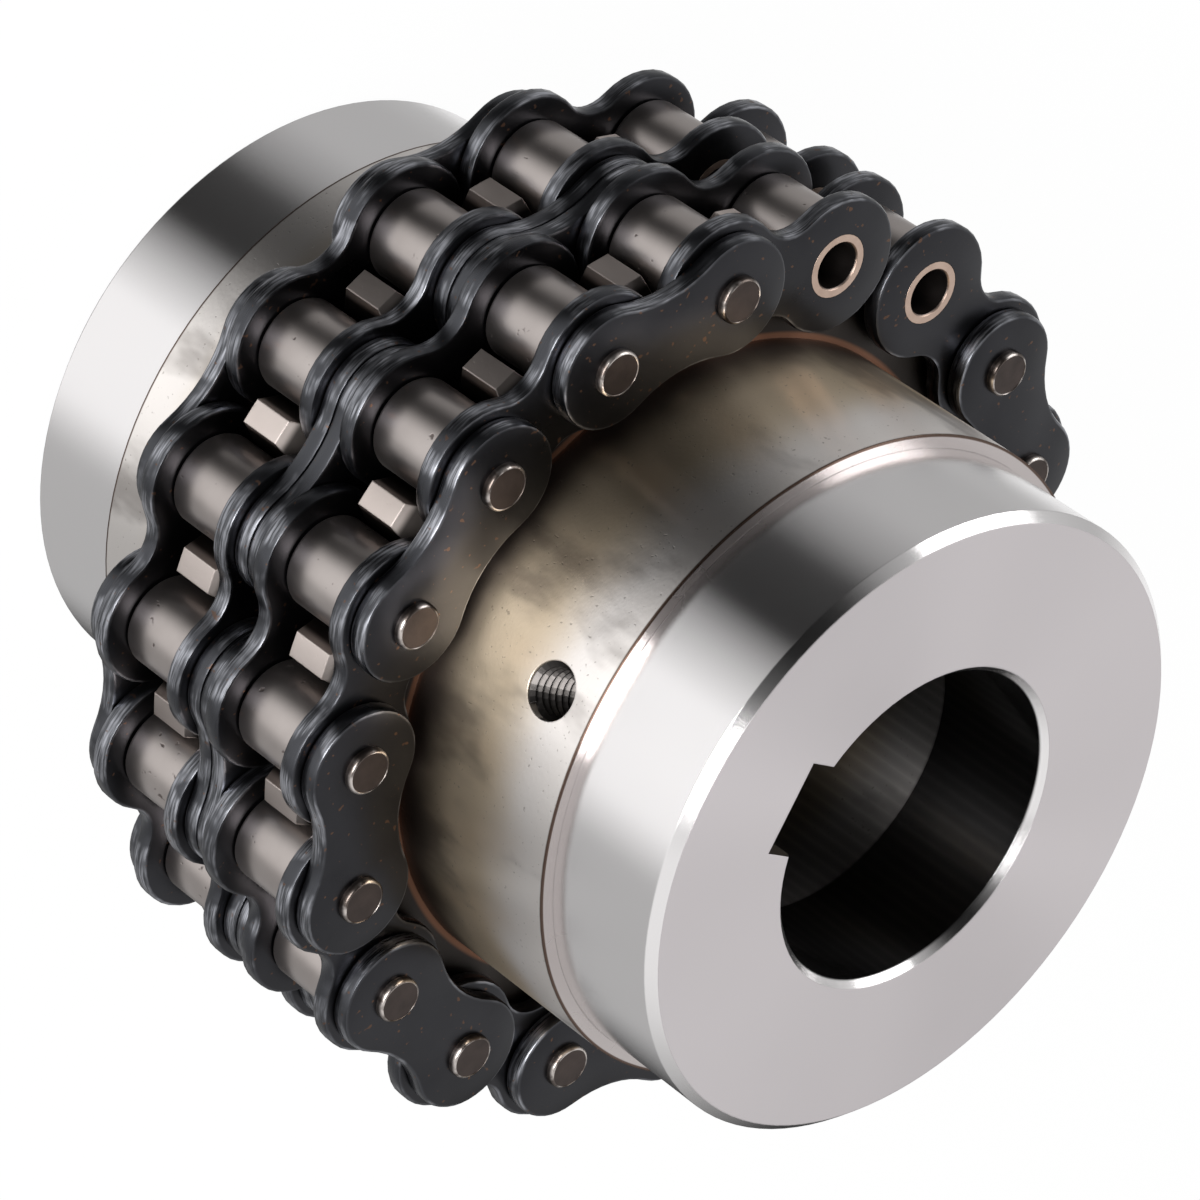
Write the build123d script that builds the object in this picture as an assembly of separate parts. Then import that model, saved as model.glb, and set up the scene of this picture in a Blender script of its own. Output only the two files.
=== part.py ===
from build123d import *
import os
from math import atan2, cos, degrees, radians, sin, sqrt, tan

# Roller chain coupling, in millimetres.
# Two hubs with an 18-tooth sprocket face each other, and one loop of duplex
# roller chain lies over both sprockets and carries the torque across.
# The part stands on the end face of the lower hub, with the shaft axis on +Z.
# The origin is the centre of that end face.
# Chain pins are numbered anticlockwise from +X, seen from above. The link that
# joins the chain's two ends, between pins 2 and 3, is missing on this example.

os.makedirs("parts", exist_ok=True)

# Chain
chain_pitch = 15.875
strand_spacing = 18.11
roller_radius = 5.08
roller_length = 9.50
roller_running_clearance = 0.04
bush_radius = 3.55
pin_radius = 2.54
pin_running_clearance = 0.03
pin_overhang = 0.82
pin_rivet_chamfer = 0.35
plate_thickness = 2.03
inner_plate_height = 15.09
inner_plate_waist = 9.00
outer_plate_height = 13.00
outer_plate_waist = 9.60
inner_width = 9.78
outer_plate_gap = 0.075
centre_plate_gap = 0.05

# Sprocket
tooth_count = 18
tooth_width = 8.40
tooth_tip_height = 2.39
tooth_seat_clearance = 0.35
tooth_flank_angle = 27.0
tooth_bevel_width = 1.70
tooth_bevel_height = 5.00

# Hub
hub_length = 45.00
hub_gap = 9.70
boss_radius = 36.50
seat_radius = 35.00
seat_length = 14.55
end_chamfer = 1.00
bore_radius = 17.50
bore_chamfer = 0.75
key_width = 10.00
key_floor_radius = 20.80
tapped_hole_radius = 3.00
tapped_hole_distance = 20.40
lower_key_gap = 16
upper_key_gap = 7

# Chain make-up: the first pin of each link
pin_link_starts = [0, 4, 6, 8, 10, 12, 14, 16]
roller_link_starts = [1, 3, 5, 7, 9, 11, 13, 15, 17]

# Places worked out from the sizes above
tooth_angle = 360.0 / tooth_count
pitch_radius = chain_pitch / (2 * sin(radians(tooth_angle / 2)))
tip_radius = pitch_radius + tooth_tip_height
overall_length = 2 * hub_length + hub_gap
mid_height = overall_length / 2
sprocket_start = hub_length - tooth_width
inner_plate_start = inner_width / 2
inner_plate_end = inner_plate_start + plate_thickness
outer_plate_start = strand_spacing / 2 + inner_plate_end + outer_plate_gap
pin_half_length = outer_plate_start + plate_thickness + pin_overhang


def pin_place(number):
    """Centre of a chain pin, seen from above."""
    angle = radians(tooth_angle * number)
    return Vector(pitch_radius * cos(angle), pitch_radius * sin(angle), 0)


def link_place(start):
    """Middle of a link, with its X axis from one pin to the next."""
    first = pin_place(start)
    second = pin_place(start + 1)
    middle = (first + second) * 0.5
    run = second - first
    return Pos(middle.X, middle.Y, mid_height) * Rot(0, 0, degrees(atan2(run.Y, run.X)))


def revolved(points):
    """Solid of revolution from a closed list of (radius, height) points."""
    outline = Polyline(*[(radius, 0, height) for radius, height in points], close=True)
    return revolve(make_face(outline), axis=Axis.Z)


def plate_outline(height, waist):
    """Figure-eight link plate: two round ends joined by tangent waist arcs."""
    half = chain_pitch / 2
    end = height / 2
    neck = waist / 2
    scoop = (half**2 + neck**2 - end**2) / (2 * (end - neck))
    centre_height = neck + scoop
    reach = sqrt(half**2 + centre_height**2)
    touch_x = half - end * half / reach
    touch_y = end * centre_height / reach
    right_end = ThreePointArc((touch_x, -touch_y), (half + end, 0), (touch_x, touch_y))
    top_waist = ThreePointArc((touch_x, touch_y), (0, neck), (-touch_x, touch_y))
    left_end = ThreePointArc((-touch_x, touch_y), (-half - end, 0), (-touch_x, -touch_y))
    low_waist = ThreePointArc((-touch_x, -touch_y), (0, -neck), (touch_x, -touch_y))
    return make_face(Curve() + [right_end, top_waist, left_end, low_waist])


def plate(height, waist, hole_radius, bottom):
    """One link plate lying flat, with its two holes a pitch apart."""
    holes = Pos(-chain_pitch / 2, 0) * Circle(hole_radius)
    holes += Pos(chain_pitch / 2, 0) * Circle(hole_radius)
    return Pos(0, 0, bottom) * extrude(plate_outline(height, waist) - holes, plate_thickness)


def ring(outer, inner, bottom, length):
    """A plain tube standing on a given height."""
    return Pos(0, 0, bottom) * extrude(Circle(outer) - Circle(inner), length)


def pin():
    """A chain pin across both strands, with its riveted ends bevelled."""
    edge = pin_radius - pin_rivet_chamfer
    top = pin_half_length
    shoulder = top - pin_rivet_chamfer
    return revolved([(0, -top), (edge, -top), (pin_radius, -shoulder),
                     (pin_radius, shoulder), (edge, top), (0, top)])


def pin_link(start):
    """Outer plates, two centre plates and two pins."""
    hole = pin_radius
    slip_hole = pin_radius + pin_running_clearance
    solids = [plate(outer_plate_height, outer_plate_waist, hole, outer_plate_start)]
    solids.append(plate(outer_plate_height, outer_plate_waist, hole,
                        -outer_plate_start - plate_thickness))
    solids.append(plate(outer_plate_height, outer_plate_waist, slip_hole, centre_plate_gap / 2))
    solids.append(plate(outer_plate_height, outer_plate_waist, slip_hole,
                        -centre_plate_gap / 2 - plate_thickness))
    for side in (-1, 1):
        solids.append(Pos(side * chain_pitch / 2, 0) * pin())
    return [link_place(start) * solid for solid in solids]


def roller_link(start):
    """On each strand, two inner plates pressed on two bushes."""
    solids = []
    bush_bore = pin_radius + pin_running_clearance
    for strand in (-strand_spacing / 2, strand_spacing / 2):
        for bottom in (strand + inner_plate_start, strand - inner_plate_end):
            solids.append(plate(inner_plate_height, inner_plate_waist, bush_radius, bottom))
        for side in (-1, 1):
            bush = ring(bush_radius, bush_bore, strand - inner_plate_end, 2 * inner_plate_end)
            solids.append(Pos(side * chain_pitch / 2, 0) * bush)
    return [link_place(start) * solid for solid in solids]


def roller(number, strand):
    """A roller that turns on the bush of one pin."""
    centre = pin_place(number)
    bore = bush_radius + roller_running_clearance
    tube = ring(roller_radius, bore, -roller_length / 2, roller_length)
    return Pos(centre.X, centre.Y, mid_height + strand) * tube


def tooth_gap():
    """Space between two teeth: a roller seat that opens into straight flanks."""
    seat = roller_radius + tooth_seat_clearance
    flank = radians(tooth_flank_angle)
    low_x = seat * cos(flank)
    low_y = -seat * sin(flank)
    top_y = 2 * tooth_tip_height
    top_x = low_x + (top_y - low_y) * tan(flank)
    opening = Polygon((low_y, -low_x), (top_y, -top_x), (top_y, top_x), (low_y, low_x), align=None)
    return Pos(pitch_radius, 0) * (Circle(seat) + opening)


def hub():
    """A hub with its end face at the bottom and its keyway towards +X."""
    shelf = tip_radius - tooth_bevel_height
    body = revolved([
        (bore_radius + bore_chamfer, 0),
        (seat_radius - end_chamfer, 0),
        (seat_radius, end_chamfer),
        (seat_radius, seat_length),
        (boss_radius, seat_length),
        (boss_radius, sprocket_start),
        (shelf, sprocket_start),
        (tip_radius, sprocket_start + tooth_bevel_width),
        (tip_radius, hub_length - tooth_bevel_width),
        (shelf, hub_length),
        (bore_radius + bore_chamfer, hub_length),
        (bore_radius, hub_length - bore_chamfer),
        (bore_radius, bore_chamfer),
    ])
    gap = Pos(0, 0, sprocket_start) * extrude(tooth_gap(), tooth_width)
    body -= [Rot(0, 0, tooth_angle * number) * gap for number in range(tooth_count)]
    body -= Box(key_floor_radius, key_width, hub_length, align=(Align.MIN, Align.CENTER, Align.MIN))
    drill = Cylinder(tapped_hole_radius, boss_radius, align=(Align.CENTER, Align.CENTER, Align.MIN))
    body -= Pos(bore_radius, 0, tapped_hole_distance) * Rot(0, 90, 0) * drill
    return body


def save(name, solids):
    """Write one node, as a single solid or as a group of separate solids."""
    shape = solids[0] if len(solids) == 1 else Compound(children=solids)
    export_step(shape, f"parts/{name}.step")
    print(name, len(solids))


hub_solid = hub().solid()
lower_hub = Rot(0, 0, tooth_angle * lower_key_gap) * hub_solid
upper_hub = Pos(0, 0, overall_length) * Rot(0, 0, tooth_angle * upper_key_gap) * Rot(180, 0, 0) * hub_solid
save("lower_hub", [lower_hub])
save("upper_hub", [upper_hub])

for start in pin_link_starts:
    save(f"pin_link_{start:02d}", pin_link(start))

for start in roller_link_starts:
    save(f"roller_link_{start:02d}", roller_link(start))

for number in range(tooth_count):
    save(f"lower_roller_{number:02d}", [roller(number, -strand_spacing / 2)])
    save(f"upper_roller_{number:02d}", [roller(number, strand_spacing / 2)])
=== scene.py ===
# %% [markdown]
# A roller chain coupling joins two shafts. Each shaft holds a steel hub with a
# sprocket, and one loop of duplex chain lies over both sprockets. This lesson
# dresses its packed solids: it keeps every size and place, and adds rounded
# plates, riveted pins, a cut thread and the steel finishes of the real thing.

import bmesh
import bpy
from math import atan2, cos, pi, radians, sin
from mathutils import Matrix, Vector


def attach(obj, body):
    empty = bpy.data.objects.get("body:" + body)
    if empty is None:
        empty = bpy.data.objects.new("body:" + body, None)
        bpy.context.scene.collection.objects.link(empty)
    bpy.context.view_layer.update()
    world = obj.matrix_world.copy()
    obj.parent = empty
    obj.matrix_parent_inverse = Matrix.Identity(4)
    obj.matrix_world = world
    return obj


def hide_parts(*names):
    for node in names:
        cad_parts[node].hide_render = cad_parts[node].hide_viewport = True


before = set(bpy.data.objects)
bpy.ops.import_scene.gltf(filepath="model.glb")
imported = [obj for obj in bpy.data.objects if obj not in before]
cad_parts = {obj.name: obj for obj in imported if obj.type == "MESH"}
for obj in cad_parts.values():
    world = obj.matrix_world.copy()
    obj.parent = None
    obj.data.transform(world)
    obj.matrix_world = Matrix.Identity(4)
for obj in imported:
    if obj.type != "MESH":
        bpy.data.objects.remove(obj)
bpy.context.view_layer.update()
MM = 0.001

# %% [markdown]
# The chain sets nearly all sizes of a coupling. Its pitch is the distance
# between two pins, and with the number of teeth it gives the circle on which
# the pins lie. They are written here once, in millimetres, as in the solids.
# A plate has two sizes, the height of its round ends and that of its waist.

# %% Sizes of the chain
CHAIN_PITCH = 15.875
TOOTH_COUNT = 18
STRAND_SPACING = 18.11
ROLLER_RADIUS = 5.08
ROLLER_BORE_RADIUS = 3.59
ROLLER_LENGTH = 9.50
BUSH_RADIUS = 3.55
BUSH_BORE_RADIUS = 2.57
PIN_RADIUS = 2.54
PIN_OVERHANG = 0.82
PLATE_THICKNESS = 2.03
INNER_PLATE = (15.09, 9.00)
OUTER_PLATE = (13.00, 9.60)
INNER_PLATE_FACE = 4.89
OUTER_PLATE_GAP = 0.075
CENTRE_PLATE_GAP = 0.05
MID_HEIGHT = 49.85
TOOTH_ANGLE = radians(360 / TOOTH_COUNT)
PIN_CIRCLE = CHAIN_PITCH / (2 * sin(TOOTH_ANGLE / 2))
LINK_CIRCLE = PIN_CIRCLE * cos(TOOTH_ANGLE / 2)
INNER_PLATE_BACK = INNER_PLATE_FACE + PLATE_THICKNESS
OUTER_PLATE_FACE = STRAND_SPACING / 2 + INNER_PLATE_BACK + OUTER_PLATE_GAP
PIN_HALF_LENGTH = OUTER_PLATE_FACE + PLATE_THICKNESS + PIN_OVERHANG
print("pin circle", round(PIN_CIRCLE, 2), "pin half length", round(PIN_HALF_LENGTH, 2))

# %% [markdown]
# A photograph is taken from one place with one lens, so the camera comes first.
# It could be set by eye, but here its place and turn were fitted to the chain
# pins of the photograph, so the part lies where it lies there. The camera is
# rolled, so the shaft, which stands upright here, points to the lower right.
# A picture counts its rows downwards and a camera looks along its own -Z, so
# the signs of some of the fitted axes change on the way.

# %% Camera
FRAME_PIXELS = 1200
FOCAL_PIXELS = 5863.8
SENSOR_WIDTH = 36.0
VIEW_REACH = 50
CAMERA_PLACE = Vector((-279.5, 398.1, 420.2)) * MM
CAMERA_TURN = Vector((0.6550, -0.6543, -0.3187))
turn = Matrix.Rotation(CAMERA_TURN.length, 3, CAMERA_TURN)
flip = Vector((1, -1, -1))
picture_right = turn[0] * flip
picture_up = -turn[1] * flip
picture_back = -turn[2] * flip
camera_data = bpy.data.cameras.new("camera")
camera_data.sensor_width = SENSOR_WIDTH
camera_data.lens = FOCAL_PIXELS / FRAME_PIXELS * SENSOR_WIDTH
camera_data.clip_end = VIEW_REACH
camera = bpy.data.objects.new("camera", camera_data)
axes = Matrix((picture_right, picture_up, picture_back)).transposed()
camera.matrix_world = Matrix.Translation(CAMERA_PLACE) @ axes.to_4x4()
bpy.context.scene.collection.objects.link(camera)
bpy.context.scene.camera = camera
print("lens", round(camera_data.lens, 1), "picture up", [round(v, 2) for v in picture_up])

# %% [markdown]
# A material is a small program. The Wire class lets it be written as sums: an
# expression on wires adds the Math nodes behind it. Every other node comes from
# one call that takes its type, its settings and what its sockets get.

# %% Wires and nodes
class Wire:
    """An output socket. Arithmetic on it adds Math nodes."""

    def __init__(self, tree, socket):
        self.tree = tree
        self.socket = socket

    def math(self, operation, *others, first=True):
        """A Math node on this wire and others, with this wire first or last."""
        values = [self, *others] if first else [*others, self]
        return add_node(self.tree, "ShaderNodeMath", {"operation": operation}, dict(enumerate(values)))

    def __add__(self, other):
        return self.math("ADD", other)

    def __sub__(self, other):
        return self.math("SUBTRACT", other)

    def __rsub__(self, other):
        return self.math("SUBTRACT", other, first=False)

    def __mul__(self, other):
        return self.math("MULTIPLY", other)

    def __truediv__(self, other):
        return self.math("DIVIDE", other)

    def __rtruediv__(self, other):
        return self.math("DIVIDE", other, first=False)

    __radd__ = __add__
    __rmul__ = __mul__


def set_stops(ramp, stops):
    """Grey levels along a colour ramp, from (place, level) pairs."""
    while len(ramp.elements) < len(stops):
        ramp.elements.new(1.0)
    for element, (place, level) in zip(ramp.elements, stops):
        element.position = place
        element.color = (level, level, level, 1)


def add_node(tree, kind, settings=None, inputs=None, output=0):
    """Add a node, set it, fill its sockets and give back one output."""
    node = tree.nodes.new(kind)
    for name, value in (settings or {}).items():
        if name == "stops":
            set_stops(node.color_ramp, value)
        else:
            setattr(node, name, value)
    for name, value in (inputs or {}).items():
        if isinstance(value, Wire):
            tree.links.new(value.socket, node.inputs[name])
        else:
            node.inputs[name].default_value = value
    return Wire(tree, node.outputs[output])


def smooth_rise(tree, value, low, high):
    """Share that climbs smoothly from 0 at low to 1 at high."""
    steps = {"interpolation_type": "SMOOTHSTEP"}
    return add_node(tree, "ShaderNodeMapRange", steps, {0: value, 1: low, 2: high})


def split_axes(tree, vector):
    """The three parts of a vector as wires."""
    parts = tree.nodes.new("ShaderNodeSeparateXYZ")
    tree.links.new(vector.socket, parts.inputs[0])
    return [Wire(tree, parts.outputs[index]) for index in range(3)]


print("reflected operators of a wire", [name for name in vars(Wire) if name.startswith("__r")])

# %% [markdown]
# Every finish of the coupling is steel, so they share one writer. It knows the
# patterns that they use, such as noise, a smooth rise or a mix of two colours,
# and it wires colour, roughness and a fine relief to the shader at the end.

# %% Paint, the material writer
class Paint:
    """A metal whose colour, roughness and bump follow expressions."""

    def __init__(self, name):
        self.material = bpy.data.materials.new(name)
        self.material.use_nodes = True
        self.tree = self.material.node_tree
        self.shader = self.tree.nodes["Principled BSDF"]
        self.place = self.node("ShaderNodeTexCoord", output="Object")

    def node(self, kind, settings=None, inputs=None, output=0):
        """Any other node of this material."""
        return add_node(self.tree, kind, settings, inputs, output)

    def noise(self, scale, detail, stretch=(1, 1, 1)):
        """Noise with so many patches to the metre."""
        spread = self.node("ShaderNodeMapping", None, {0: self.place, 3: stretch})
        return self.node("ShaderNodeTexNoise", None, {"Vector": spread, "Scale": scale, "Detail": detail})

    def rise(self, value, low, high):
        """Share that climbs smoothly from 0 at low to 1 at high."""
        return smooth_rise(self.tree, value, low, high)

    def band(self, value, climb, fall):
        """Share that is 1 between its climb and its fall."""
        return self.rise(value, *climb) * (1 - self.rise(value, *fall))

    def mix(self, share, first, second):
        """Colour that goes from the first to the second with a share."""
        ends = [colour if isinstance(colour, Wire) else (*colour, 1) for colour in (first, second)]
        return self.node("ShaderNodeMix", {"data_type": "RGBA"}, {0: share, 6: ends[0], 7: ends[1]}, output=2)

    def tag(self, name):
        """A value that the mesh carries, such as its rim."""
        return self.node("ShaderNodeAttribute", {"attribute_name": name}, output="Fac")

    def finish(self, colour, roughness, relief, depth, rounding=0.0):
        """Wire up the metal. Depth of relief and rounding of edges are in millimetres."""
        bump = {"Height": relief, "Distance": depth * MM, "Strength": 1.0}
        if rounding:
            bump["Normal"] = self.node("ShaderNodeBevel", {"samples": 4}, {"Radius": rounding * MM})
        normal = self.node("ShaderNodeBump", None, bump)
        for name, value in (("Base Color", colour), ("Roughness", roughness), ("Normal", normal)):
            self.tree.links.new(value.socket, self.shader.inputs[name])
        self.shader.inputs["Metallic"].default_value = 1.0
        print(self.material.name, len(self.tree.nodes), "nodes")
        return self.material


print("patterns", [name for name in vars(Paint) if not name.startswith("_")])

# %% [markdown]
# The hubs were turned on a lathe. The seat beside the end face is polished, the
# raw boss next to the teeth has a straw and brown heat tint, and the tooth tips
# are bare. The darkest brown, right beside the teeth, is partly that tint and
# partly painted shade of the chain that stands round the boss there. An image
# could be painted for it, but all of that depends on two distances, from the axis
# and from the middle of the coupling. So one material on Object coordinates holds
# it, and both hubs share it.

# %% Sizes and colours of the hubs
BORE_RADIUS = 17.5
SEAT_RADIUS = 35.0
BOSS_RADIUS = 36.5
TOOTH_HEIGHT = 2.39
TIP_RADIUS = PIN_CIRCLE + TOOTH_HEIGHT
SPROCKET_SIDE = 13.25
SEAT_LEVEL = 35.30
# Dark brown heat tint, darkened further as painted shade of the chain beside the teeth.
HEAT_TINT_AND_CHAIN_SHADE = (0.09, 0.07, 0.06)
STRAW = (0.68, 0.56, 0.41)
CLEAN_STEEL = (0.80, 0.76, 0.73)
STAIN_BROWN = (0.10, 0.08, 0.07)
PIT_BROWN = (0.16, 0.13, 0.11)
POLISHED_SEAT = (0.84, 0.82, 0.82)
TURNED_FACE = (0.60, 0.565, 0.575)
STEP_PALE = (0.50, 0.46, 0.45)
STEP_EDGE = (0.10, 0.065, 0.05)
SPROCKET_DARK = (0.055, 0.048, 0.044)
TOOTH_DULL = (0.28, 0.24, 0.22)
TOOTH_BRIGHT = (0.66, 0.59, 0.555)
COPPER_SEAM = (0.26, 0.13, 0.08)
# Near black inside the bore: painted shade of the deep hole, not the colour of the steel.
BORE_PAINTED_SHADE = (0.010, 0.010, 0.011)
print("tip radius", round(TIP_RADIUS, 2), "boss", BOSS_RADIUS, "seat", SEAT_RADIUS)

# %% [markdown]
# Heat runs out from the teeth, so the tint is a row of colours along the shaft,
# pushed to and fro by a slow noise. Its first colour, next to the teeth, is heat
# tint darkened further to paint the chain's shade on the boss. The cutting tool
# leaves fine rings round a turned surface, which spread a reflection along the
# shaft and keep it narrow round it. The Anisotropic value does that, with its
# direction turned by a quarter of a turn. Heights here are millimetres from the
# coupling's middle.

# %% Hub steel
TINT_WANDER = 7.0
BROWN_TO_STRAW = (14.5, 21.5)
STRAW_TO_CLEAN = (24.0, 32.0)
BRUSHED = 0.8
QUARTER_TURN = 0.25
RINGS_PER_MM = 9
BOSS_ROUGHNESS = 0.36
SEAT_POLISH = 0.19
FACE_GRAIN = 0.14
TEETH_GRAIN = 0.10
HUB_RELIEF = 0.02
HUB_ROUNDING = 0.2


def heat_tint_and_chain_shade(paint, height, cloud, pits):
    """Dark brown beside the chain, heat tint with the chain's shade painted in, then straw, then clean, with
    stains and small pits.
    """
    wander = height + (cloud - 0.5) * TINT_WANDER
    # Painted shade: the brown next to the teeth also stands for the chain's shade on the boss.
    tint = paint.mix(paint.rise(wander, *BROWN_TO_STRAW), HEAT_TINT_AND_CHAIN_SHADE, STRAW)
    tint = paint.mix(paint.rise(wander, *STRAW_TO_CLEAN), tint, CLEAN_STEEL)
    stain = paint.rise(paint.noise(95, 4, (1, 1, 0.5)), 0.53, 0.66)
    tint = paint.mix(stain * 0.55, tint, STAIN_BROWN)
    return paint.mix(pits * 0.4, tint, PIT_BROWN)


def step_colour(paint, radius):
    """The step between boss and seat is pale, with a dark outer edge."""
    edge = paint.rise(radius, BOSS_RADIUS - 0.35, BOSS_RADIUS - 0.20)
    return paint.mix(edge, STEP_PALE, STEP_EDGE)


def sprocket_colour(paint, radius, cloud):
    """Bare tooth tips on a dark sprocket."""
    bare = paint.mix(cloud, TOOTH_DULL, TOOTH_BRIGHT)
    crown = paint.rise(radius, TIP_RADIUS - 1.5, TIP_RADIUS - 0.5)
    return paint.mix(crown, SPROCKET_DARK, bare)


def seam_share(paint, radius, height):
    """Where the boss runs into the side of the sprocket."""
    seam = paint.band(radius, (BOSS_RADIUS - 0.1, BOSS_RADIUS + 0.1), (BOSS_RADIUS + 0.4, BOSS_RADIUS + 0.9))
    climb = (SPROCKET_SIDE - 0.45, SPROCKET_SIDE - 0.05)
    return seam * paint.band(height, climb, (SPROCKET_SIDE + 0.15, SPROCKET_SIDE + 0.55))


def hub_steel():
    """Turned steel, with one layer of colour for each zone of a hub."""
    paint = Paint("hub_steel")
    x, y, z = split_axes(paint.tree, paint.place)
    radius = (x * x + y * y).math("SQRT") / MM
    height = (z / MM - MID_HEIGHT).math("ABSOLUTE")
    cloud = paint.noise(60, 3)
    grain = paint.noise(1800, 3, (1, 1, 2))
    pits = paint.rise(paint.noise(2300, 1), 0.69, 0.77)
    along = {"W": height * RINGS_PER_MM, "Detail": 2}
    rings = paint.node("ShaderNodeTexNoise", {"noise_dimensions": "1D"}, along)
    seat = paint.rise(height, SEAT_LEVEL - 0.05, SEAT_LEVEL + 0.05)
    face = paint.rise(height, MID_HEIGHT - 0.07, MID_HEIGHT - 0.03)
    step = paint.band(height, (SEAT_LEVEL - 0.3, SEAT_LEVEL - 0.1), (SEAT_LEVEL + 0.05, SEAT_LEVEL + 0.1))
    teeth = 1 - paint.rise(height, SPROCKET_SIDE + 0.10, SPROCKET_SIDE + 0.35)
    # Painted shade: the bore wall and its edge are coloured near black.
    bore_shade = 1 - paint.rise(radius, BORE_RADIUS - 0.1, BORE_RADIUS + 0.2)
    colour = heat_tint_and_chain_shade(paint, height, cloud, pits)
    layers = [(seat, POLISHED_SEAT), (face, TURNED_FACE), (step, step_colour(paint, radius)),
              (teeth, sprocket_colour(paint, radius, cloud)),
              (seam_share(paint, radius, height), COPPER_SEAM), (bore_shade, BORE_PAINTED_SHADE)]
    for share, layer in layers:
        colour = paint.mix(share, colour, layer)
    roughness = BOSS_ROUGHNESS + (cloud - 0.5) * 0.10 + (rings - 0.5) * 0.05
    roughness = roughness - seat * SEAT_POLISH + face * FACE_GRAIN + teeth * TEETH_GRAIN
    relief = grain * (1 - seat) * 0.5 + rings * seat * 0.10 + pits * (seat - 1) * 0.4
    paint.shader.inputs["Anisotropic"].default_value = BRUSHED
    paint.shader.inputs["Anisotropic Rotation"].default_value = QUARTER_TURN
    return paint.finish(colour, roughness, relief, HUB_RELIEF, HUB_ROUNDING)


HUB_STEEL = hub_steel()

# %% [markdown]
# The thread is cut into the same steel, but lies in its own shade and holds old
# grease, so it gets a dark metal with only a little relief.

# %% Thread steel
THREAD_COLOURS = ((0.030, 0.028, 0.027), (0.085, 0.078, 0.074))


def thread_steel():
    paint = Paint("thread_steel")
    cloud = paint.noise(900, 2)
    colour = paint.mix(cloud, *THREAD_COLOURS)
    return paint.finish(colour, 0.32 + (cloud - 0.5) * 0.1, cloud, 0.03, rounding=0.08)


THREAD_STEEL = thread_steel()

# %% [markdown]
# Link plates are blackened. Handling wears their rims to a blue silver, in
# streaks that run round the rim, and leaves a few specks of rust. Each mesh
# carries a rim value from 0 to 1, so the material knows a rim from a flat.

# %% Plate steel
BLACKENED = ((0.018, 0.018, 0.020), (0.045, 0.045, 0.050))
WORN_RIM = ((0.10, 0.103, 0.112), (0.55, 0.56, 0.61))
DULL_RIM = (0.075, 0.077, 0.085)
RUST = (0.16, 0.085, 0.05)


def plate_steel():
    paint = Paint("plate_steel")
    rim = paint.tag("rim")
    cloud = paint.noise(90, 4)
    broad = paint.noise(230, 2)
    scratch = paint.noise(1400, 3, (0.2, 0.2, 3.0))
    rust = paint.rise(paint.noise(1300, 1), 0.70, 0.76) * 0.6
    flat = paint.mix(cloud, *BLACKENED)
    worn = paint.mix(paint.rise(scratch, 0.35, 0.75), *WORN_RIM)
    worn = paint.mix(paint.rise(broad, 0.42, 0.62), DULL_RIM, worn)
    colour = paint.mix(rust, paint.mix(rim, flat, worn), RUST)
    roughness = 0.30 + (cloud - 0.5) * 0.15 + rust * 0.2 + (scratch - 0.5) * rim * 0.2
    return paint.finish(colour, roughness, cloud * 0.4 + scratch * rim * 0.7, 0.03)


PLATE_STEEL = plate_steel()

# %% [markdown]
# Rollers are bare steel with small dark pits. The riveted pin heads are dark
# with a bright, uneven ring where the hammer rounded them, and the ends of the
# bushes are warm in colour.

# %% Roller, pin and bush steel
ROLLER_COLOURS = ((0.36, 0.32, 0.305), (0.58, 0.53, 0.505))
ROLLER_PIT = (0.08, 0.06, 0.055)
PIN_COLOURS = ((0.035, 0.029, 0.027), (0.085, 0.065, 0.058))
PIN_RING = ((0.11, 0.09, 0.08), (0.60, 0.55, 0.52))
BUSH_END = ((0.42, 0.30, 0.24), (0.60, 0.46, 0.38))
BUSH_WALL = (0.10, 0.085, 0.08)


def roller_steel():
    paint = Paint("roller_steel")
    cloud = paint.noise(160, 3)
    pit = paint.rise(paint.noise(760, 2), 0.68, 0.76)
    colour = paint.mix(pit * 0.8, paint.mix(cloud, *ROLLER_COLOURS), ROLLER_PIT)
    roughness = 0.33 + (cloud - 0.5) * 0.12 + pit * 0.2
    return paint.finish(colour, roughness, cloud * 0.3 - pit * 0.7, 0.04)


def pin_steel():
    paint = Paint("pin_steel")
    rim = paint.tag("rim")
    cloud = paint.noise(500, 3)
    ring = paint.mix(paint.rise(cloud, 0.42, 0.60), *PIN_RING)
    colour = paint.mix(rim, paint.mix(cloud, *PIN_COLOURS), ring)
    return paint.finish(colour, 0.42 - rim * 0.14, cloud, 0.05)


def bush_steel():
    paint = Paint("bush_steel")
    cloud = paint.noise(700, 2)
    colour = paint.mix(paint.tag("rim"), BUSH_WALL, paint.mix(cloud, *BUSH_END))
    return paint.finish(colour, 0.38 + (cloud - 0.5) * 0.1, cloud, 0.03)


ROLLER_STEEL = roller_steel()
PIN_STEEL = pin_steel()
BUSH_STEEL = bush_steel()

# %% [markdown]
# A link plate is punched from strip, so its faces are flat and its rim is
# slightly rounded. A bevel modifier could round it, but it would need weights to
# spare the holes. Insetting the outline changes only two radii, because the round
# ends and the tangent waist arcs keep their centres, so each ring of the rim is
# worked out exactly instead. RIM lists them from a face outwards: how far a ring
# is drawn in, how deep it lies and its rim value.

# %% Link plate
END_STEPS = 26
WAIST_STEPS = 8
HOLE_STEPS = 32
RIM = [(0.42, 0.0, 0.0), (0.14, 0.10, 0.7), (0.0, 0.36, 1.0)]


def arc(centre, radius, start, end, steps):
    """Points on an arc, without its last one."""
    angles = [start + (end - start) * step / steps for step in range(steps)]
    return [(centre[0] + radius * cos(a), centre[1] + radius * sin(a)) for a in angles]


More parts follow.
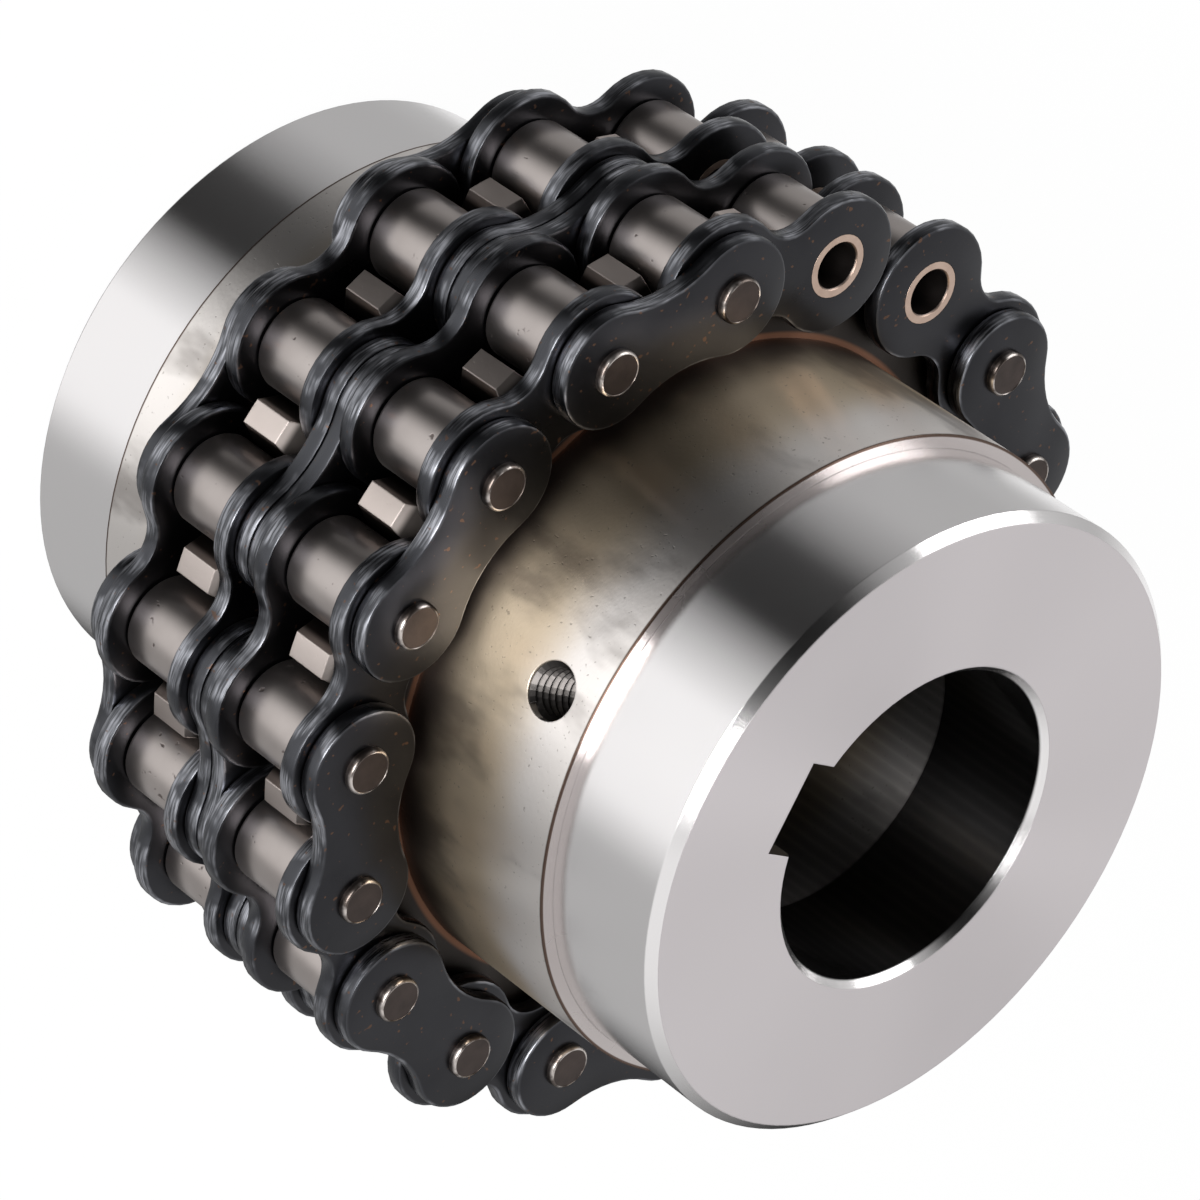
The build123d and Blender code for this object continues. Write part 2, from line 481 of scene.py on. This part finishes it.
def plate_outline(size, inset):
    """Closed figure-eight outline, drawn in by an inset."""
    end, neck, half = size[0] / 2, size[1] / 2, CHAIN_PITCH / 2
    scoop = (half**2 + neck**2 - end**2) / (2 * (end - neck))
    rise = neck + scoop
    lean = atan2(rise, half)
    end, scoop = end - inset, scoop + inset
    points = arc((half, 0), end, lean - pi, pi - lean, END_STEPS)
    points += arc((0, rise), scoop, -lean, lean - pi, WAIST_STEPS)
    points += arc((-half, 0), end, lean, 2 * pi - lean, END_STEPS)
    points += arc((0, -rise), scoop, pi - lean, lean, WAIST_STEPS)
    return points


def ring_of(bm, points, height, rim):
    """Add a closed ring of vertices and mark how much of a rim it is."""
    layer = bm.verts.layers.float["rim"]
    ring = [bm.verts.new((px * MM, py * MM, height * MM)) for px, py in points]
    for vertex in ring:
        vertex[layer] = rim
    return ring


def wall(bm, low, high):
    """Quads between two rings."""
    count = len(low)
    for index in range(count):
        after = (index + 1) % count
        bm.faces.new((low[index], low[after], high[after], high[index]))


def rim_edges(bm, ring):
    """The edges that close a ring."""
    count = len(ring)
    return [bm.edges.get((ring[i], ring[(i + 1) % count])) for i in range(count)]


def add_plate(bm, size, hole, bottom):
    """One link plate with a rounded rim and two holes."""
    up = [(inset, bottom + rise, rim) for inset, rise, rim in RIM]
    down = [(inset, bottom + PLATE_THICKNESS - rise, rim) for inset, rise, rim in reversed(RIM)]
    rings = [ring_of(bm, plate_outline(size, inset), height, rim) for inset, height, rim in up + down]
    for low, high in zip(rings, rings[1:]):
        wall(bm, low, high)
    borders = {"low": rim_edges(bm, rings[0]), "high": rim_edges(bm, rings[-1])}
    for side in (-1, 1):
        circle = arc((side * CHAIN_PITCH / 2, 0), hole, 0, 2 * pi, HOLE_STEPS)
        low = ring_of(bm, circle, bottom, 0)
        high = ring_of(bm, circle, bottom + PLATE_THICKNESS, 0)
        wall(bm, high, low)
        borders["low"] += rim_edges(bm, low)
        borders["high"] += rim_edges(bm, high)
    for edges in borders.values():
        bmesh.ops.triangle_fill(bm, edges=edges, use_beauty=True)


print("points on a plate's outline", len(plate_outline(OUTER_PLATE, 0)))

# %% [markdown]
# Rollers, bushes and pins are turned, so each is a profile spun round an axis. A
# screw modifier would spin it too, but rings made in a loop can carry a rim value
# for the material. A profile is a list of radius, height and rim value, from the
# lower end to the upper one. RIVET gives the head of a pin: how far a point is
# drawn in from the pin's side, how far it lies below its end, and its rim value.

# %% Turned pieces of the chain
ROLLER_EDGE = 0.45
ROLLER_CORNER = 0.13
BUSH_LIP = 0.16
BUSH_CORNER = (0.05, 0.1)
RIVET = [(0.0, 0.50, 0.2), (0.04, 0.20, 0.8), (0.20, 0.03, 1.0), (0.30, 0.0, 1.0), (0.36, 0.06, 0.0)]


def add_turned(bm, profile, centre_x, steps, closed):
    """Solid of revolution about an upright axis, from (radius, height, rim) points."""
    rings = []
    for radius, height, rim in profile:
        rings.append(ring_of(bm, arc((centre_x, 0), radius, 0, 2 * pi, steps), height, rim))
    for low, high in zip(rings, rings[1:]):
        wall(bm, low, high)
    if closed:
        wall(bm, rings[-1], rings[0])
    else:
        bm.faces.new(list(reversed(rings[0])))
        bm.faces.new(rings[-1])


def roller_profile():
    """A tube with rounded outer edges."""
    half = ROLLER_LENGTH / 2
    end = [(ROLLER_RADIUS, half - ROLLER_EDGE), (ROLLER_RADIUS - ROLLER_CORNER, half - ROLLER_CORNER),
           (ROLLER_RADIUS - ROLLER_EDGE, half), (ROLLER_BORE_RADIUS, half)]
    return [(radius, -height, 0) for radius, height in reversed(end)] + [(*point, 0) for point in end]


def bush_profile(middle):
    """A tube that ends flush with the inner plates, with its ends marked as rims."""
    inward, along = BUSH_CORNER
    half = INNER_PLATE_BACK
    end = [(BUSH_RADIUS, half - along, 0), (BUSH_RADIUS - inward, half, 1),
           (BUSH_BORE_RADIUS + BUSH_LIP, half, 1), (BUSH_BORE_RADIUS, half - BUSH_LIP, 0)]
    low = [(radius, middle - height, rim) for radius, height, rim in reversed(end)]
    return low + [(radius, middle + height, rim) for radius, height, rim in end]


def pin_profile():
    """A solid bar with a riveted head at both ends."""
    end = [(PIN_RADIUS - inset, PIN_HALF_LENGTH - drop, rim) for inset, drop, rim in RIVET]
    return [(radius, -height, rim) for radius, height, rim in reversed(end)] + end


print("profile points", len(roller_profile()), len(bush_profile(0)), len(pin_profile()))

# %% [markdown]
# Each kind of piece is modelled once, for a link whose middle is at the origin,
# and a roller by itself. Edges between faces that meet at more than the sharp
# angle stay crisp, and the rest are shaded smooth.

# %% Prototype meshes
SHARP_ANGLE = radians(38)
BUSH_STEPS = 32
ROLLER_STEPS = 48


def prototype(name, build, material):
    """A mesh made once, to be copied round the sprocket."""
    bm = bmesh.new()
    bm.verts.layers.float.new("rim")
    build(bm)
    bmesh.ops.recalc_face_normals(bm, faces=bm.faces)
    mesh = bpy.data.meshes.new(name)
    bm.to_mesh(mesh)
    bm.free()
    mesh.materials.append(material)
    mesh.shade_smooth()
    mesh.set_sharp_from_angle(angle=SHARP_ANGLE)
    keeper = bpy.data.objects.new(name, mesh)
    print(name, len(mesh.polygons), "faces")
    return keeper


def outer_plates(bm):
    """The two outermost plates of a pin link and the two at the middle."""
    for bottom in (OUTER_PLATE_FACE, -OUTER_PLATE_FACE - PLATE_THICKNESS,
                   CENTRE_PLATE_GAP / 2, -CENTRE_PLATE_GAP / 2 - PLATE_THICKNESS):
        add_plate(bm, OUTER_PLATE, PIN_RADIUS, bottom)


def inner_plates(bm):
    """The two plates of each strand that hold the bushes."""
    for strand in (-STRAND_SPACING / 2, STRAND_SPACING / 2):
        for bottom in (strand + INNER_PLATE_FACE, strand - INNER_PLATE_BACK):
            add_plate(bm, INNER_PLATE, BUSH_RADIUS, bottom)


def bushes(bm):
    """Two bushes on each strand."""
    for strand in (-STRAND_SPACING / 2, STRAND_SPACING / 2):
        for side in (-1, 1):
            add_turned(bm, bush_profile(strand), side * CHAIN_PITCH / 2, BUSH_STEPS, True)


def pins(bm):
    """The two pins of a pin link."""
    for side in (-1, 1):
        add_turned(bm, pin_profile(), side * CHAIN_PITCH / 2, BUSH_STEPS, False)


def one_roller(bm):
    """A single roller, with its axis through the origin."""
    add_turned(bm, roller_profile(), 0, ROLLER_STEPS, True)


OUTER_PLATES = prototype("outer_plates_master", outer_plates, PLATE_STEEL)
INNER_PLATES = prototype("inner_plates_master", inner_plates, PLATE_STEEL)
BUSHES = prototype("bushes_master", bushes, BUSH_STEEL)
PINS = prototype("pins_master", pins, PIN_STEEL)
ROLLER = prototype("roller_master", one_roller, ROLLER_STEEL)

# %% [markdown]
# The chain repeats one link all round the sprocket. An Array modifier would copy
# it too, but here each body of the model takes its own run of links. Geometry
# Nodes lay copies of a master on a circle round the shaft: point number i gets
# the place of link First + Step x i. One tree serves plates, bushes, pins and
# rollers alike.

# %% Geometry Nodes tree
CONTROLS = (("Count", "Int"), ("First", "Float"), ("Step", "Float"), ("Circle", "Float"),
            ("Height", "Float"), ("Master", "Object"), ("Material", "Material"))


def copies_tree():
    """Points on a circle, a turned copy on each, made real and given a material."""
    tree = bpy.data.node_groups.new("copies round the sprocket", "GeometryNodeTree")
    face = tree.interface
    face.new_socket("Geometry", in_out="INPUT", socket_type="NodeSocketGeometry")
    for name, kind in CONTROLS:
        face.new_socket(name, in_out="INPUT", socket_type="NodeSocket" + kind)
    face.new_socket("Geometry", in_out="OUTPUT", socket_type="NodeSocketGeometry")
    group = tree.nodes.new("NodeGroupInput")
    given = {socket.name: Wire(tree, socket) for socket in group.outputs if socket.name}
    index = add_node(tree, "GeometryNodeInputIndex")
    angle = (given["First"] + given["Step"] * index) * TOOTH_ANGLE
    across = given["Circle"] * angle.math("COSINE")
    along = given["Circle"] * angle.math("SINE")
    place = add_node(tree, "ShaderNodeCombineXYZ", None, {0: across, 1: along, 2: given["Height"]})
    points = add_node(tree, "GeometryNodePoints", None, {"Count": given["Count"], "Position": place})
    facing = add_node(tree, "ShaderNodeCombineXYZ", None, {2: angle + pi / 2})
    facing = add_node(tree, "FunctionNodeEulerToRotation", None, {0: facing})
    shape = add_node(tree, "GeometryNodeObjectInfo", None, {"Object": given["Master"]}, output="Geometry")
    copies = add_node(tree, "GeometryNodeInstanceOnPoints", None,
                      {"Points": points, "Instance": shape, "Rotation": facing})
    real = add_node(tree, "GeometryNodeRealizeInstances", None, {0: copies})
    real = add_node(tree, "GeometryNodeSetMaterial", None, {"Geometry": real, "Material": given["Material"]})
    out = tree.nodes.new("NodeGroupOutput")
    tree.links.new(real.socket, out.inputs[0])
    return tree


COPIES = copies_tree()


def laid_round(name, master, count, first, step, circle, height):
    """Copies of a master round the sprocket, as one plain mesh object."""
    holder = bpy.data.objects.new(name, bpy.data.meshes.new(name + "_seed"))
    bpy.context.scene.collection.objects.link(holder)
    modifier = holder.modifiers.new("copies", "NODES")
    modifier.node_group = COPIES
    values = {"Count": count, "First": float(first), "Step": float(step), "Circle": circle * MM,
              "Height": height * MM, "Master": master, "Material": master.data.materials[0]}
    for item in COPIES.interface.items_tree:
        if item.in_out == "INPUT" and item.name in values:
            modifier[item.identifier] = values[item.name]
    holder.update_tag()
    graph = bpy.context.evaluated_depsgraph_get()
    mesh = bpy.data.meshes.new_from_object(holder.evaluated_get(graph), depsgraph=graph)
    holder.modifiers.clear()
    holder.data = mesh
    mesh.name = name
    return holder


print("tree nodes", len(COPIES.nodes))

# %% [markdown]
# Links are numbered by their first pin, and a link's middle lies half a tooth
# further. Most links ride with the chain. The two on each side of the opening
# swing, so each of them is a body of its own, and so is every roller.

# %% Lay the chain
PIN_LINKS_ON_CHAIN = [6, 8, 10, 12, 14, 16]
ROLLER_LINKS_ON_CHAIN = [5, 7, 9, 11, 13, 15, 17]
LINK_MASTERS = {"pin_link": (("outer_plates", OUTER_PLATES), ("pins", PINS)),
                "roller_link": (("inner_plates", INNER_PLATES), ("bushes", BUSHES))}


def dress_links(body, starts, kind):
    """Plates and their pins or bushes for the links of one body."""
    count, first = len(starts), starts[0] + 0.5
    step = starts[1] - starts[0] if count > 1 else 0
    for word, master in LINK_MASTERS[kind]:
        name = f"{word}_{body}_{starts[0]:02d}"
        piece = laid_round(name, master, count, first, step, LINK_CIRCLE, MID_HEIGHT)
        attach(piece, body)
        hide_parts(*[f"{kind}_{start:02d}" for start in starts])


dress_links("chain", PIN_LINKS_ON_CHAIN, "pin_link")
dress_links("chain", ROLLER_LINKS_ON_CHAIN, "roller_link")
dress_links("pin_link_00", [0], "pin_link")
dress_links("pin_link_04", [4], "pin_link")
dress_links("roller_link_01", [1], "roller_link")
dress_links("roller_link_03", [3], "roller_link")

for row, offset in (("lower", -STRAND_SPACING / 2), ("upper", STRAND_SPACING / 2)):
    for number in range(TOOTH_COUNT):
        node = f"{row}_roller_{number:02d}"
        piece = laid_round("turned_" + node, ROLLER, 1, number, 0, PIN_CIRCLE, MID_HEIGHT + offset)
        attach(piece, node)
        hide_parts(node)

# %% [markdown]
# A hub keeps the exact shape of its solid, but the packed mesh shows flat facets
# on round surfaces. Smooth shading alone would smear the edges. So each corner
# gets the normal of the real surface: inward in the tapped hole, outward on what
# was turned, towards the pin in a tooth seat, and flat everywhere else.

# %% Normals of the hubs
HUB_TURNED_RADII = [BORE_RADIUS, SEAT_RADIUS, BOSS_RADIUS, TIP_RADIUS]
SEAT_CLEARANCE = 0.35
SEAT_GAP_RADIUS = ROLLER_RADIUS + SEAT_CLEARANCE
TAPPED_HEIGHT = 20.40
TAPPED_RADIUS = 3.0
KEY_AZIMUTH = {"lower_hub": radians(-40), "upper_hub": radians(140)}
HOLE_HEIGHT = {"lower_hub": TAPPED_HEIGHT, "upper_hub": 2 * MID_HEIGHT - TAPPED_HEIGHT}
CLOSE = 0.02
LEVEL_FACE = 0.999
UPRIGHT_FACE = 0.05


def sideways(vector):
    """A vector without its height."""
    return Vector((vector.x, vector.y, 0))


def round_azimuth(azimuth):
    """Level unit vector that points to an azimuth."""
    return Vector((cos(azimuth), sin(azimuth), 0))


def tapped_normal(node, face, corner):
    """Normal towards the axis of the tapped hole, on its wall."""
    outward = round_azimuth(KEY_AZIMUTH[node])
    hole = Vector((0, 0, HOLE_HEIGHT[node] * MM))
    spoke = corner - hole
    spoke -= outward * spoke.dot(outward)
    on_wall = abs(spoke.length / MM - TAPPED_RADIUS) < 1.5 * CLOSE
    along = abs(face.normal.dot(outward)) < UPRIGHT_FACE
    inside = (face.calc_center_median() - hole).cross(outward).length / MM < TAPPED_RADIUS + CLOSE
    return -spoke.normalized() if on_wall and along and inside else None


def turned_normal(face, corner):
    """Normal of a cylinder or a cone round the shaft."""
    reach = [sideways(vertex.co).length / MM for vertex in face.verts]
    turned = any(max(abs(r - known) for r in reach) < CLOSE for known in HUB_TURNED_RADII)
    if not turned and abs(face.normal.z) <= UPRIGHT_FACE:
        return None
    middle = sideways(face.calc_center_median()).normalized()
    lift = Vector((0, 0, face.normal.z))
    return (sideways(corner).normalized() * face.normal.dot(middle) + lift).normalized()


def tooth_seat_normal(face, corner):
    """Normal towards the pin whose roller lies in this tooth seat."""
    centre = face.calc_center_median()
    number = round(atan2(centre.y, centre.x) / TOOTH_ANGLE)
    pin = round_azimuth(number * TOOTH_ANGLE) * PIN_CIRCLE * MM
    away = [(sideways(vertex.co) - pin).length / MM for vertex in face.verts]
    on_seat = max(abs(a - SEAT_GAP_RADIUS) for a in away) < CLOSE
    return (pin - sideways(corner)).normalized() if on_seat else None


def true_normal(node, face, corner):
    """Normal of the real surface at a corner: level, tapped, turned, tooth seat or flat."""
    if abs(face.normal.z) > LEVEL_FACE:
        return face.normal.copy()
    normal = tapped_normal(node, face, corner)
    if normal is None:
        normal = turned_normal(face, corner)
    if normal is None:
        normal = tooth_seat_normal(face, corner)
    return face.normal.copy() if normal is None else normal


print("turned radii", [round(radius, 2) for radius in HUB_TURNED_RADII])

# %% [markdown]
# A hub could be turned again from its profile, but its teeth, keyway and tapped
# hole would have to be cut once more. A copy of the solid has them all. The packed
# mesh is loose triangles, so the copy is merged, and then it is dressed in hub
# steel with its real normals and takes the place of the plain solid.

# %% Hubs
MERGE_DISTANCE = 0.002


def dressed_hub(node):
    """A merged copy of a hub's solid, with the normals of its real surfaces."""
    bm = bmesh.new()
    bm.from_mesh(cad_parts[node].data)
    bmesh.ops.remove_doubles(bm, verts=bm.verts, dist=MERGE_DISTANCE * MM)
    bm.normal_update()
    normals = [true_normal(node, face, loop.vert.co) for face in bm.faces for loop in face.loops]
    mesh = bpy.data.meshes.new("dressed_" + node)
    bm.to_mesh(mesh)
    bm.free()
    mesh.materials.clear()
    mesh.materials.append(HUB_STEEL)
    mesh.shade_smooth()
    mesh.normals_split_custom_set(normals)
    piece = bpy.data.objects.new("dressed_" + node, mesh)
    bpy.context.scene.collection.objects.link(piece)
    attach(piece, node)
    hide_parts(node)
    print(node, len(mesh.polygons), "faces")


dressed_hub("lower_hub")
dressed_hub("upper_hub")

# %% [markdown]
# A set screw would go into the tapped hole of each hub. The solid holds the hole
# at the thread's outer diameter. A bump could fake the thread, but the edges of
# its turns show against the dark of the hole, so it is a real ridge that winds
# along the wall, swept here step by step.

# %% Thread of the tapped holes
THREAD_PITCH = 1.0
THREAD_INNER = 2.46
THREAD_ROOT = 0.46
THREAD_CREST = 0.07
THREAD_START = 21.0
THREAD_END = 35.9
TURN_STEPS = 28


def thread_ridge(body, azimuth, height):
    """One ridge that winds along the wall of a tapped hole."""
    bm = bmesh.new()
    section = [(TAPPED_RADIUS, -THREAD_ROOT), (THREAD_INNER, -THREAD_CREST),
               (THREAD_INNER, THREAD_CREST), (TAPPED_RADIUS, THREAD_ROOT)]
    steps = int((THREAD_END - THREAD_START) / THREAD_PITCH * TURN_STEPS)
    outward = round_azimuth(azimuth)
    upward = Vector((0, 0, 1))
    crosswise = upward.cross(outward)
    rings = []
    for step in range(steps + 1):
        angle = 2 * pi * step / TURN_STEPS
        depth = THREAD_START + THREAD_PITCH * step / TURN_STEPS
        spoke = crosswise * cos(angle) + upward * sin(angle)
        ring = [outward * (depth + along) + spoke * radius + upward * height for radius, along in section]
        rings.append([bm.verts.new(point * MM) for point in ring])
    for low, high in zip(rings, rings[1:]):
        wall(bm, low, high)
    bm.faces.new(rings[0])
    bm.faces.new(rings[-1])
    bmesh.ops.recalc_face_normals(bm, faces=bm.faces)
    mesh = bpy.data.meshes.new("thread_" + body)
    bm.to_mesh(mesh)
    bm.free()
    mesh.materials.append(THREAD_STEEL)
    piece = bpy.data.objects.new("thread_" + body, mesh)
    bpy.context.scene.collection.objects.link(piece)
    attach(piece, body)
    print(piece.name, len(mesh.polygons), "faces")


for hub in ("lower_hub", "upper_hub"):
    thread_ridge(hub, KEY_AZIMUTH[hub], HOLE_HEIGHT[hub])

# %% [markdown]
# The photograph has a plain white ground and soft light. The floor here is white
# to the camera too, and lets mirror rays through, because an upright cylinder
# seen from above mirrors only what is below it.

# %% Floor
FLOOR_REACH = 6
FLOOR_WHITE = (0.88, 0.88, 0.88, 1)
FLOOR_ROUGHNESS = 0.9
FLOOR_GLOW = 0.97


def pale_floor():
    """White to the camera, pale to light and open to mirror rays."""
    bm = bmesh.new()
    bmesh.ops.create_grid(bm, x_segments=1, y_segments=1, size=FLOOR_REACH)
    mesh = bpy.data.meshes.new("floor")
    bm.to_mesh(mesh)
    bm.free()
    floor = bpy.data.objects.new("floor", mesh)
    bpy.context.scene.collection.objects.link(floor)
    material = bpy.data.materials.new("pale_floor")
    material.use_nodes = True
    tree = material.node_tree
    shader = tree.nodes["Principled BSDF"]
    shader.inputs["Base Color"].default_value = FLOOR_WHITE
    shader.inputs["Roughness"].default_value = FLOOR_ROUGHNESS
    seen = add_node(tree, "ShaderNodeLightPath", output="Is Camera Ray")
    mirrored = add_node(tree, "ShaderNodeLightPath", output="Is Glossy Ray")
    glow = add_node(tree, "ShaderNodeEmission", None, {"Color": (1, 1, 1, 1), "Strength": 1.0})
    clear = add_node(tree, "ShaderNodeBsdfTransparent")
    base = Wire(tree, shader.outputs[0])
    mixed = add_node(tree, "ShaderNodeMixShader", None, {0: seen * FLOOR_GLOW, 1: base, 2: glow})
    mixed = add_node(tree, "ShaderNodeMixShader", None, {0: mirrored, 1: mixed, 2: clear})
    tree.links.new(mixed.socket, tree.nodes["Material Output"].inputs["Surface"])
    mesh.materials.append(material)


pale_floor()
print("floor glow", FLOOR_GLOW)

# %% [markdown]
# Polished steel shows what stands round it, so the world holds white and black
# cards. An image of a studio could stand there, but a short list is easier to
# read and to change. CARDS gives the azimuth and the level of each. They stand
# below the horizon, where the turned sides look, and fade out above it, but on
# the camera's side they reach far up. The rest of the sky has one level, for the
# end face, and a dark patch behind the camera gives depth to what the boss
# reflects.

# %% World
SKY_LEVEL = 0.92
HORIZON_FADE = (0.1, 0.55)
FRONT_FADE = (0.0, 0.5)
PATCH_AZIMUTH = 118
PATCH_ELEVATION = 54
PATCH_FADE = (0.72, 0.95)
PATCH_DEPTH = 0.85
CARDS = [(0, 0.46), (40, 0.48), (58, 0.30), (72, 0.05), (98, 0.03), (114, 0.55), (132, 1.05), (174, 1.05),
         (192, 0.5), (256, 0.48), (274, 0.22), (288, 0.04), (298, 0.04), (314, 0.95), (326, 0.95), (345, 0.5)]


def direction(azimuth, elevation):
    """Unit vector from two angles in degrees."""
    flat = cos(radians(elevation))
    return Vector((flat * cos(radians(azimuth)), flat * sin(radians(azimuth)), sin(radians(elevation))))


def studio_world():
    """White to the camera, and cards, sky and dark patch to everything else."""
    world = bpy.data.worlds.new("studio")
    bpy.context.scene.world = world
    world.use_nodes = True
    tree = world.node_tree
    tree.nodes.clear()
    x, y, z = split_axes(tree, add_node(tree, "ShaderNodeTexCoord", output="Generated"))
    turns = y.math("ARCTAN2", x) / (2 * pi)
    stops = {"stops": [(azimuth / 360, level) for azimuth, level in CARDS]}
    cards = add_node(tree, "ShaderNodeValToRGB", stops, {0: turns.math("FRACT")})
    below = 1 - smooth_rise(tree, z, *HORIZON_FADE)
    share = below + (1 - below) * smooth_rise(tree, y, *FRONT_FADE)
    level = share * cards + (1 - share) * SKY_LEVEL
    patch = direction(PATCH_AZIMUTH, PATCH_ELEVATION)
    near_patch = x * patch.x + y * patch.y + z * patch.z
    level = level * (1 - smooth_rise(tree, near_patch, *PATCH_FADE) * PATCH_DEPTH)
    seen = add_node(tree, "ShaderNodeLightPath", output="Is Camera Ray")
    strength = seen + (1 - seen) * level
    glow = add_node(tree, "ShaderNodeBackground", None, {"Color": (1, 1, 1, 1), "Strength": strength})
    out = tree.nodes.new("ShaderNodeOutputWorld")
    tree.links.new(glow.socket, out.inputs["Surface"])


studio_world()
print("cards", len(CARDS), "sky level", SKY_LEVEL)

# %% [markdown]
# Two soft lamps from the camera's side draw the highlights on the boss, the
# rollers and the rims of the plates. They are wide discs, because a small lamp
# burns out where a flat face mirrors it. LAMPS gives the azimuth and elevation of
# each in degrees and its power in watts.

# %% Lamps
LAMP_DISTANCE = 0.7
LAMP_WIDTH = 0.40
LAMP_TARGET = Vector((0, 0, MID_HEIGHT * MM))
LAMPS = {"left_lamp": (146, 36, 5.5), "right_lamp": (25, 36, 1.2)}


def soft_lamp(name, azimuth, elevation, power):
    """A round area lamp that looks at the middle of the coupling."""
    data = bpy.data.lights.new(name, "AREA")
    data.shape = "DISK"
    data.size = LAMP_WIDTH
    data.energy = power
    lamp = bpy.data.objects.new(name, data)
    lamp.location = direction(azimuth, elevation) * LAMP_DISTANCE
    lamp.rotation_euler = (LAMP_TARGET - lamp.location).to_track_quat("-Z", "Y").to_euler()
    bpy.context.scene.collection.objects.link(lamp)


for name, (azimuth, elevation, power) in LAMPS.items():
    soft_lamp(name, azimuth, elevation, power)
print("lamps", len(bpy.data.lights))

# %% [markdown]
# The Standard view keeps the white ground white.

# %% View transform
bpy.context.scene.view_settings.view_transform = "Standard"
